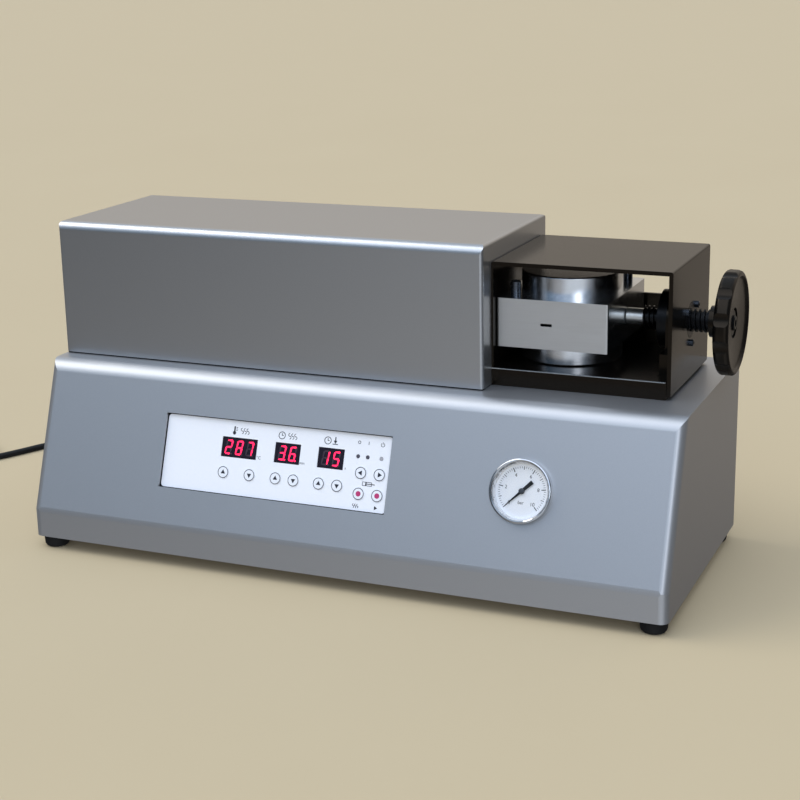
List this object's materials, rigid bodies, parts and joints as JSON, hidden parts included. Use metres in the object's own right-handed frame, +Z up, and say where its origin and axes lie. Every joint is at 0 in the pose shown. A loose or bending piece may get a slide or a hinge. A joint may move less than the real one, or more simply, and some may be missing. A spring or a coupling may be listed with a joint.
{
  "type": "denture injection molding machine",
  "caption": "Bench-top denture injection molding machine: sloped silver base with keys and gauge, heated injection unit under a cover, and a hand-screw chamber with an aluminium flask.",
  "frame": {"origin": "on the table, below the middle of the machine's box without its mains lead", "axes": "+X along the machine towards the handwheel, +Y from the sloped front to the back, +Z up"},
  "size_m": [0.9218, 0.3502, 0.295],
  "materials": {
    "silver_paint": "satin silver paint",
    "cover_paint": "satin grey silver paint",
    "black_paint": "satin black",
    "zinc_sheet": "zinc plated",
    "foot_rubber": "matt",
    "tray_black": "matt black",
    "overlay_white": "printed film",
    "display_dark": "dark red filter",
    "light_red": "clear red",
    "board_green": "solder mask",
    "key_white": "printed film",
    "gauge_black": "satin black",
    "gauge_chrome": "polished",
    "gauge_white": "matt white",
    "gauge_glass": "clear",
    "needle_black": "matt black",
    "bronze": "turned",
    "black_steel": "blackened",
    "bright_steel": "ground",
    "bakelite": "moulded black",
    "flask_aluminium": "machined",
    "cylinder_aluminium": "anodised",
    "fitting_nickel": "satin",
    "hose_blue": "polyurethane",
    "switch_black": "moulded black",
    "lead_black": "satin black"
  },
  "bodies": {
    "base": {"base_housing": "silver_paint", "upper_cover": "cover_paint", "bed_plate": "black_paint", "chamber_hood": "black_paint", "chamber_back_plate": "black_paint", "thrust_plate": "black_paint", "base_plate": "zinc_sheet", "power_supply": "zinc_sheet", "nozzle_plate": "zinc_sheet", "rubber_feet": "foot_rubber", "cover_strip": "foot_rubber", "panel_carrier": "tray_black", "panel_overlay": "overlay_white", "temperature_display": "display_dark", "time_displays": "display_dark", "indicator_lights": "light_red", "control_board": "board_green", "gauge_case": "gauge_black", "gauge_lock_ring": "gauge_black", "gauge_bezel": "gauge_chrome", "gauge_dial": "gauge_white", "gauge_lens": "gauge_glass", "heater_band": "bronze", "screw_nut": "black_steel", "nut_screws": "black_steel", "heating_barrel": "bright_steel", "thermocouple": "bright_steel", "tie_rods": "bright_steel", "cylinder_rear_cap": "cylinder_aluminium", "cylinder_tube": "cylinder_aluminium", "cylinder_front_cap": "cylinder_aluminium", "air_inlet": "fitting_nickel", "solenoid_valve": "fitting_nickel", "air_hoses": "hose_blue", "switch_case": "switch_black", "cord_gland": "switch_black", "power_cord": "lead_black", "cord_coil": "lead_black", "power_plug": "lead_black"},
    "pad": {"pressure_pad": "bright_steel"},
    "screw": {"clamp_spindle": "black_steel", "handwheel": "bakelite"},
    "flask": {"flask_lower": "flask_aluminium", "flask_upper": "flask_aluminium", "flask_bolts": "bright_steel"},
    "ram": {"piston": "black_steel", "piston_rod": "bright_steel", "plunger": "bright_steel"},
    "needle": {"gauge_needle": "needle_black"},
    "rocker": {"switch_rocker": "switch_black"},
    "temperature_up_button": {"temperature_up_key": "key_white"},
    "temperature_down_button": {"temperature_down_key": "key_white"},
    "heating_up_button": {"heating_up_key": "key_white"},
    "heating_down_button": {"heating_down_key": "key_white"},
    "pressing_up_button": {"pressing_up_key": "key_white"},
    "pressing_down_button": {"pressing_down_key": "key_white"},
    "plunger_left_button": {"plunger_left_key": "key_white"},
    "plunger_right_button": {"plunger_right_key": "key_white"},
    "preheat_button": {"preheat_key": "key_white"},
    "start_button": {"start_key": "key_white"}
  },
  "joints": [
    {"name": "clamp_slide", "type": "slide", "parent": "base", "child": "pad", "axis": [1, 0, 0], "range_m": [0, 0.0201]},
    {"name": "handwheel_spin", "type": "hinge", "parent": "pad", "child": "screw", "pos_m": [0.252, 0.0255, 0.2242], "axis": [1, 0, 0], "range_deg": [0, 1800]},
    {"name": "flask_out", "type": "slide", "parent": "base", "child": "flask", "axis": [0, 1, 0], "range_m": [-0.16, 0]},
    {"name": "plunger_stroke", "type": "slide", "parent": "base", "child": "ram", "axis": [1, 0, 0], "range_m": [0, 0.095]},
    {"name": "gauge_needle_turn", "type": "hinge", "parent": "base", "child": "needle", "pos_m": [0.162, -0.11161, 0.10233], "axis": [0, 0.9398, -0.3417], "range_deg": [0, 270], "stiffness_Nm_per_rad": 0.0002},
    {"name": "switch_rock", "type": "hinge", "parent": "base", "child": "rocker", "pos_m": [-0.058, 0.113, 0.1], "axis": [1, 0, 0], "range_deg": [0, 16]},
    {"name": "temperature_up_press", "type": "slide", "parent": "base", "child": "temperature_up_button", "axis": [0, 0.9398, -0.3417], "range_m": [0, 0.0005], "stiffness_N_per_m": 1200},
    {"name": "temperature_down_press", "type": "slide", "parent": "base", "child": "temperature_down_button", "axis": [0, 0.9398, -0.3417], "range_m": [0, 0.0005], "stiffness_N_per_m": 1200},
    {"name": "heating_up_press", "type": "slide", "parent": "base", "child": "heating_up_button", "axis": [0, 0.9398, -0.3417], "range_m": [0, 0.0005], "stiffness_N_per_m": 1200},
    {"name": "heating_down_press", "type": "slide", "parent": "base", "child": "heating_down_button", "axis": [0, 0.9398, -0.3417], "range_m": [0, 0.0005], "stiffness_N_per_m": 1200},
    {"name": "pressing_up_press", "type": "slide", "parent": "base", "child": "pressing_up_button", "axis": [0, 0.9398, -0.3417], "range_m": [0, 0.0005], "stiffness_N_per_m": 1200},
    {"name": "pressing_down_press", "type": "slide", "parent": "base", "child": "pressing_down_button", "axis": [0, 0.9398, -0.3417], "range_m": [0, 0.0005], "stiffness_N_per_m": 1200},
    {"name": "plunger_left_press", "type": "slide", "parent": "base", "child": "plunger_left_button", "axis": [0, 0.9398, -0.3417], "range_m": [0, 0.0005], "stiffness_N_per_m": 1200},
    {"name": "plunger_right_press", "type": "slide", "parent": "base", "child": "plunger_right_button", "axis": [0, 0.9398, -0.3417], "range_m": [0, 0.0005], "stiffness_N_per_m": 1200},
    {"name": "preheat_press", "type": "slide", "parent": "base", "child": "preheat_button", "axis": [0, 0.9398, -0.3417], "range_m": [0, 0.0005], "stiffness_N_per_m": 1200},
    {"name": "start_press", "type": "slide", "parent": "base", "child": "start_button", "axis": [0, 0.9398, -0.3417], "range_m": [0, 0.0005], "stiffness_N_per_m": 1200}
  ],
  "couplings": [
    {"joint": "clamp_slide", "follows": "handwheel_spin", "m_per_rad": 0.00063662}
  ]
}
